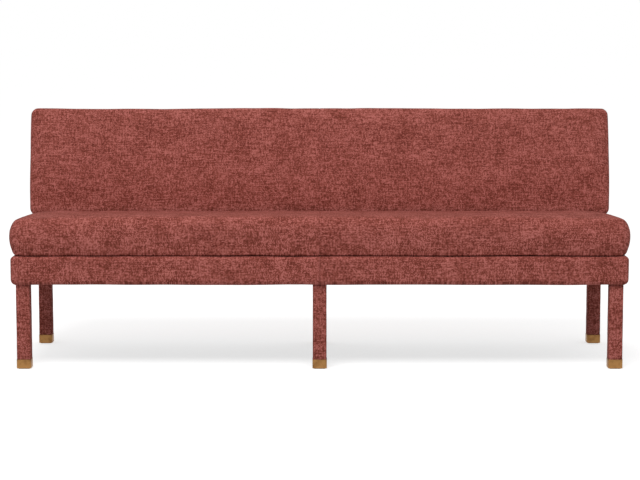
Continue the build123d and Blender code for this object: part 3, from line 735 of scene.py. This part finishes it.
class BANQUETTE_OT_back(bpy.types.Operator):
    """Back pad: crowned front, rolled edges, and a foot that stands on the cushion"""

    bl_idname = "banquette.back"
    bl_label = "Make back pad"

    def execute(self, context):
        seat, back = context.scene.banquette_seat, context.scene.banquette_back
        inset = back.swell
        slope = tan(back.lean - back.foot_slope)
        shells = self.shells(back, inset, slope)
        pad = link_object("back_pad", ring_mesh("back_pad", shells), chenille(context))
        voxel_skin(pad, voxel=0.007, rounds=2)
        foot_band, rear_band = 0.012, 0.006

        def held(points):
            """The foot and the rear of the pad, where it is nailed down."""
            rise = points[:, 2] - points[:, 1] * slope
            return (rise < inset + foot_band) | (points[:, 1] > back.thickness - inset - rear_band)

        foot = read_points(pad.data)[:, 2].min() - inset
        blow_up(pad, held, pressure=0.08, cap=0.006)
        subdivided(pad)
        reach = BASE_WIDTH / 2 + back.spread
        fit_box(pad.data, (-reach, 0, foot), (reach, back.thickness, back.height + back.spread))
        uneven(pad.data, height=0.0018, wave=0.22, seed=9.0)
        points = read_points(pad.data)
        through, rise = points[:, 1].copy(), points[:, 2].copy()
        foot_y, foot_z = BASE_LOW.y + back.foot_depth, foot_level(seat, back)
        points[:, 1] = foot_y + through * cos(back.lean) + rise * sin(back.lean)
        points[:, 2] = foot_z - through * sin(back.lean) + rise * cos(back.lean)
        write_points(pad.data, points)
        middle_seam(pad.data, back.seam)
        lay_cloth(pad.data, turn_y=0.8)
        solids = ("back_cover_left", "back_cover_right", "back_foam", "back_rear_pad")
        dress(pad, "terracotta_cloth", *solids, fill=0.85)
        return {"FINISHED"}

    def shells(self, back, inset, slope):
        """Rings of points from the rear of the upright pad to its crown, with the foot sloping up."""
        rear_steps, roll_steps, crown_steps = 5, 8, 6
        rings = []
        for turn in quarter_turn(rear_steps):
            depth = back.thickness - back.rear_roll * (1 - cos(turn))
            rings.append((back.rear_roll * (1 - sin(turn)), depth))
        for turn in quarter_turn(roll_steps):
            rings.append((back.roll * (1 - cos(turn)), back.crown + back.roll_depth * (1 - sin(turn))))
        for step in range(1, crown_steps + 1):
            depth = back.crown * (1 - step / crown_steps) ** 2
            rings.append((back.roll + back.crown_run * step / crown_steps, depth))
        squeeze = (back.thickness - 2 * inset) / back.thickness
        shells = []
        for draw, depth in rings:
            through = inset + depth * squeeze
            low = through * slope + inset + draw
            high = back.height - inset - draw
            ring = rounded_ring(
                BASE_WIDTH - 2 * (inset + draw), high - low, back.corner, corner_steps=6, runs=(40, 10)
            )
            shells.append([(x, through, up + (low + high) / 2) for x, up in ring])
        return shells


class BANQUETTE_OT_legs(bpy.types.Operator):
    """Cloth sleeves on the six legs, drawn tight round the timber, with turned edges"""

    bl_idname = "banquette.legs"
    bl_label = "Make leg sleeves"

    def execute(self, context):
        sizes = context.scene.banquette_frame
        low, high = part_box("leg_sleeves")
        steps, hem = 24, 0.0006
        levels = [low.z + (high.z - low.z) * step / steps for step in range(steps + 1)]
        outer = [(hem, low.z)] + [(0, z) for z in [low.z + hem] + levels[1:]]
        inner = [(sizes.cloth, z) for z in levels[::-1]]
        meshes = []
        for name in LEG_NAMES:
            core_low, core_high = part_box(f"leg_core_{name}")
            centre = ((core_low.x + core_high.x) / 2, (core_low.y + core_high.y) / 2)
            rings = swept(
                outer + inner, (sizes.leg, sizes.leg), sizes.leg_round, least_corner=0.0008,
                centre=centre, corner_steps=5, runs=(6, 6),
            )
            meshes.append(ring_mesh("sleeve", rings, loop=True))
        sleeves = link_object("leg_cloth", join_meshes("leg_cloth", meshes), chenille(context))
        uneven(sleeves.data, height=0.0004, wave=0.03, seed=6.0)
        lay_cloth(sleeves.data, turn_y=0.2)
        dress(sleeves, "terracotta_cloth", "leg_sleeves")
        return {"FINISHED"}


class BANQUETTE_OT_ferrules(bpy.types.Operator):
    """Pressed brass ferrules with eased edges, one round each foot"""

    bl_idname = "banquette.ferrules"
    bl_label = "Make ferrules"

    def execute(self, context):
        sizes = context.scene.banquette_frame
        ease, turns = sizes.ferrule_ease, quarter_turn(3)
        rim, lap, least_corner, inside = ease * 0.5, 0.001, 0.001, 0.010
        meshes = []
        for name in LEG_NAMES:
            low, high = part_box(f"ferrule_{name}")
            size = high.x - low.x
            wall = (size - sizes.leg) / 2 + sizes.cloth
            section = [(ease * (1 - sin(t)), low.z + ease * (1 - cos(t))) for t in turns]
            section += [(0, low.z + (high.z - low.z) * share) for share in (0.3, 0.6)]
            section += [(rim * (1 - cos(t)), high.z - rim * (1 - sin(t))) for t in turns]
            section += [(wall, high.z), (wall, high.z - inside)]
            centre = ((low.x + high.x) / 2, (low.y + high.y) / 2)
            rings = swept(
                section, (size, size), sizes.leg_round + lap, least_corner,
                centre, corner_steps=6, runs=(2, 2),
            )
            meshes.append(ring_mesh("ferrule", rings))
        material = shared_material("satin_brass", satin_brass, context.scene.banquette_colours)
        ferrules = link_object("ferrules", join_meshes("ferrules", meshes), material)
        dress(ferrules, "antique_brass", *[f"ferrule_{name}" for name in LEG_NAMES])
        return {"FINISHED"}


class BANQUETTE_OT_lining(bpy.types.Operator):
    """Black lining stretched under the base, sagging a little between its edges"""

    bl_idname = "banquette.lining"
    bl_label = "Make lining"

    def execute(self, context):
        sizes, colours = context.scene.banquette_frame, context.scene.banquette_colours
        low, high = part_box("dust_cover")
        across, along = 60, 18
        fullness, pucker, puckers_across, puckers_along, seed = 0.6, 0.0006, 30, 8, 3.0
        points, faces = [], []
        for row in range(along + 1):
            for column in range(across + 1):
                u, v = column / across, row / along
                x, y = low.x + (high.x - low.x) * u, low.y + (high.y - low.y) * v
                sag = sizes.sag * (sin(pi * u) ** fullness) * (sin(pi * v) ** fullness)
                wave = noise.noise(Vector((u * puckers_across, v * puckers_along, seed)))
                points.append((x, y, low.z - sag + pucker * wave * sin(pi * u) * sin(pi * v)))
        for row in range(along):
            for column in range(across):
                k = row * (across + 1) + column
                faces.append((k, k + across + 1, k + across + 2, k + 1))
        mesh = bpy.data.meshes.new("lining")
        mesh.from_pydata(points, [], faces)
        paler, grit = hex_colour("2e2e30"), 0.0015
        material = shared_material(
            "spunbond_lining", pressed_cloth, "spunbond_lining", colours.lining, paler, grit
        )
        lining = link_object("lining", mesh, material)
        dress(lining, "black_lining", "dust_cover")
        return {"FINISHED"}


class BANQUETTE_OT_timber(bpy.types.Operator):
    """Finishes of the frame inside: beech, plywood, webbing, steel and felt"""

    bl_idname = "banquette.timber"
    bl_label = "Finish frame"

    def execute(self, context):
        felt, felt_lift = hex_colour("2a2725"), hex_colour("4a4643")
        finishes = {
            "frame_timber": planed_wood("planed_beech", pale="d9b48a", deep="b98a5c", ring=0.006),
            "plywood": planed_wood("birch_plywood", pale="e0c49c", deep="c9a777", ring=0.012),
            "webbing": woven_webbing(),
            "zinc_steel": zinc_steel(),
            "felt": pressed_cloth("wool_felt", felt, felt_lift, grit=0.0012),
        }
        for part in frame["record"]["subparts"]:
            finish = finishes.get(part["material_slot"])
            if finish:
                mesh = NODES[part["node"]].data
                mesh.materials.clear()
                mesh.materials.append(finish)
        return {"FINISHED"}


class BANQUETTE_OT_stage(bpy.types.Operator):
    """Floor, light all round, a large lamp in front and the camera"""

    bl_idname = "banquette.stage"
    bl_label = "Set stage"

    def execute(self, context):
        scene = context.scene
        stage = scene.banquette_stage
        self.lay_floor(scene)
        self.light_sky(scene, stage)
        self.hang_lamps(scene, stage)
        self.set_camera(scene, stage)
        scene.view_settings.view_transform = "Standard"
        return {"FINISHED"}

    def lay_floor(self, scene):
        """A floor that reaches past the picture's edges."""
        reach = 60.0
        corners = [(-reach, -reach, 0), (reach, -reach, 0), (reach, reach, 0), (-reach, reach, 0)]
        mesh = bpy.data.meshes.new("studio_floor")
        mesh.from_pydata(corners, [], [(0, 1, 2, 3)])
        mesh.materials.append(studio_floor(scene.banquette_colours))
        floor = bpy.data.objects.new("studio_floor", mesh)
        scene.collection.objects.link(floor)

    def light_sky(self, scene, stage):
        """Even light from all round, which the lens sees as white."""
        world = bpy.data.worlds.new("studio")
        world.use_nodes = True
        scene.world = world
        tree = world.node_tree
        tree.nodes.clear()
        seen = any_ray(tree, "Is Camera Ray", "Is Transmission Ray")
        level = ranged(tree, seen, To_Min=stage.sky, To_Max=1.0)
        sky = add_node(tree, "ShaderNodeBackground", Color=(1, 1, 1, 1), Strength=level).outputs[0]
        output = tree.nodes.new("ShaderNodeOutputWorld")
        tree.links.new(sky, output.inputs["Surface"])

    def hang_lamps(self, scene, stage):
        """A large lamp above the front and a small one low at the left."""
        for name, place, target, size, power in (
            ("front_lamp", (-0.5, -3.1, 5.1), (0, 0, 0.45), (3.2, 2.0), stage.key),
            ("low_lamp", (-0.9, -4.2, 0.55), (0.2, 0.2, 0.30), (1.4, 0.6), stage.fill),
        ):
            lamp = bpy.data.lights.new(name, "AREA")
            lamp.shape = "RECTANGLE"
            lamp.size, lamp.size_y = size
            lamp.energy = power
            light = bpy.data.objects.new(name, lamp)
            light.location = place
            light.rotation_euler = (Vector(target) - light.location).to_track_quat("-Z", "Y").to_euler()
            scene.collection.objects.link(light)

    def set_camera(self, scene, stage):
        """A long lens in front of the middle, tipped down a little."""
        camera = bpy.data.cameras.new("camera")
        camera.lens = stage.lens
        camera.sensor_width = 36
        camera.clip_end = 200
        eye = bpy.data.objects.new("camera", camera)
        eye.location = (stage.shift, BASE_LOW.y - stage.distance, stage.eye)
        eye.rotation_euler = (pi / 2 - stage.pitch, 0, 0)
        scene.collection.objects.link(eye)
        scene.camera = eye


class BANQUETTE_PT_panel(bpy.types.Panel):
    """Lists the banquette's pieces in the order in which they are made"""

    bl_idname = "BANQUETTE_PT_panel"
    bl_label = "Banquette"
    bl_space_type = "VIEW_3D"
    bl_region_type = "UI"
    bl_category = "Banquette"

    def draw(self, context):
        for operator in OPERATORS:
            self.layout.operator(operator.bl_idname)
        for name, group in GROUPS.items():
            box = self.layout.box()
            box.label(text=group.__doc__)
            for key in group.__annotations__:
                box.prop(getattr(context.scene, name), key)


OPERATORS = (
    BANQUETTE_OT_base,
    BANQUETTE_OT_seat,
    BANQUETTE_OT_back,
    BANQUETTE_OT_legs,
    BANQUETTE_OT_ferrules,
    BANQUETTE_OT_lining,
    BANQUETTE_OT_timber,
    BANQUETTE_OT_stage,
)
GROUPS = {
    "banquette_seat": BanquetteSeat,
    "banquette_back": BanquetteBack,
    "banquette_frame": BanquetteFrame,
    "banquette_colours": BanquetteColours,
    "banquette_stage": BanquetteStage,
}


def register():
    for group in GROUPS.values():
        bpy.utils.register_class(group)
    for name, group in GROUPS.items():
        setattr(bpy.types.Scene, name, PointerProperty(type=group))
    for operator in OPERATORS:
        bpy.utils.register_class(operator)
    bpy.utils.register_class(BANQUETTE_PT_panel)


def unregister():
    bpy.utils.unregister_class(BANQUETTE_PT_panel)
    for operator in reversed(OPERATORS):
        bpy.utils.unregister_class(operator)
    for name in GROUPS:
        delattr(bpy.types.Scene, name)
    for group in reversed(list(GROUPS.values())):
        bpy.utils.unregister_class(group)


def main():
    register()
    bpy.ops.banquette.base()
    bpy.ops.banquette.seat()
    bpy.ops.banquette.back()
    bpy.ops.banquette.legs()
    bpy.ops.banquette.ferrules()
    bpy.ops.banquette.lining()
    bpy.ops.banquette.timber()
    bpy.ops.banquette.stage()


if __name__ == "__main__":
    main()
